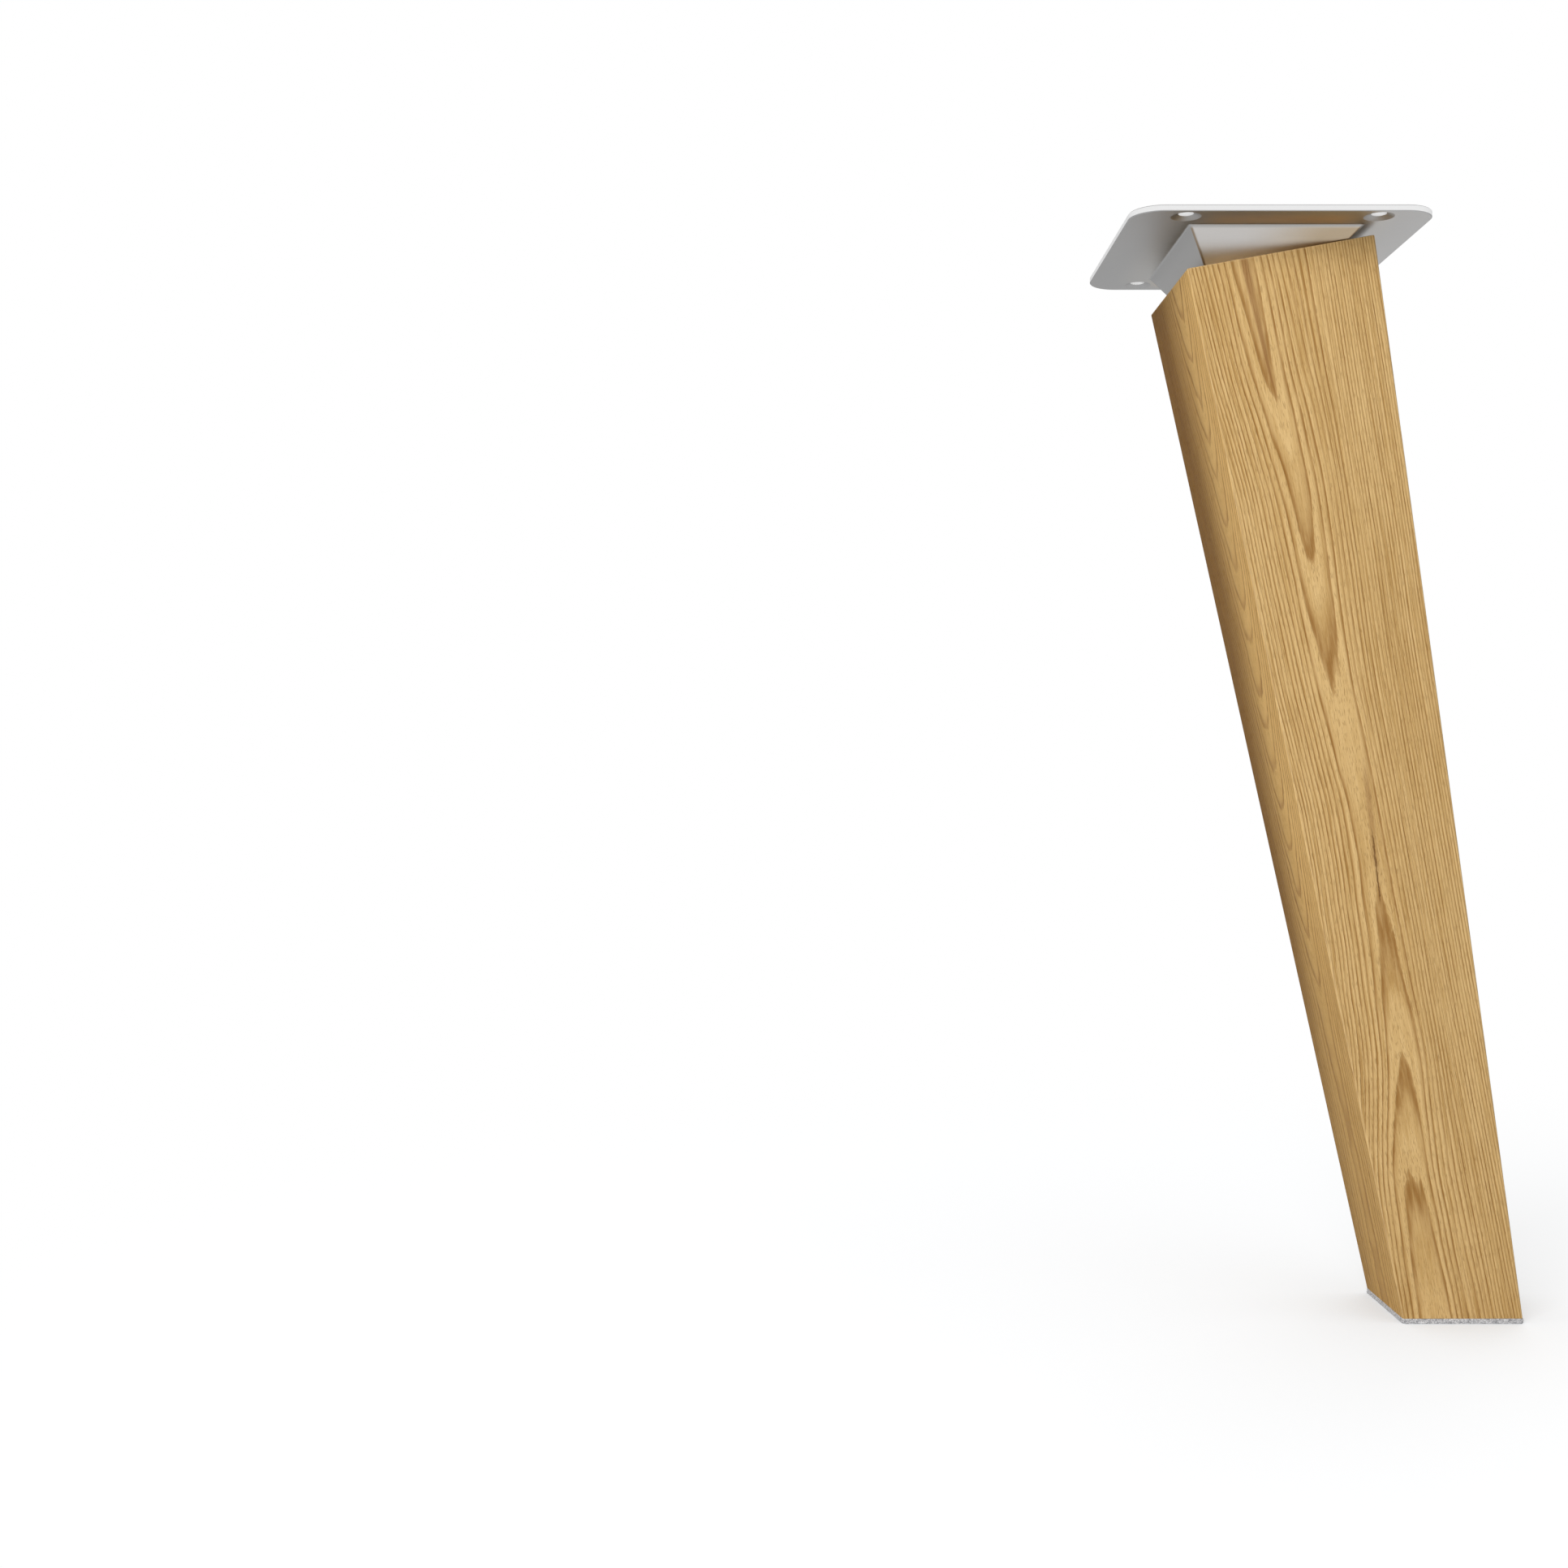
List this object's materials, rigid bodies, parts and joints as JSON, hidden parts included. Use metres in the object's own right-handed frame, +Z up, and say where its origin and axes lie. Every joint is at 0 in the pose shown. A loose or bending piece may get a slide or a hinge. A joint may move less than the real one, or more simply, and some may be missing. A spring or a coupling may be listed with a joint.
{
  "type": "wooden furniture leg",
  "caption": "Inclined square-tapered wooden furniture leg on a pressed steel mounting plate whose wedge sets the lean, with a felt pad under its level foot.",
  "frame": {"origin": "centre of the mounting plate's four holes, at the plate's top face, where it lies against the furniture", "axes": "+Z up, square to the plate; the leg leans from its top towards +X as it goes down; the part is symmetric about its XZ plane"},
  "size_m": [0.1301, 0.094, 0.35],
  "materials": {
    "plate_steel": "bright zinc-plated pressed sheet, satin",
    "screw_steel": "zinc-plated, satin",
    "leg_wood": "clear matt oiled oak with open grain",
    "pad_felt": "pressed grey felt, speckled"
  },
  "bodies": {
    "root": {"mounting_plate": "plate_steel", "wood_screw_1": "screw_steel", "wood_screw_2": "screw_steel", "wood_screw_3": "screw_steel", "wood_screw_4": "screw_steel", "wooden_leg": "leg_wood", "felt_pad": "pad_felt"}
  },
  "joints": []
}
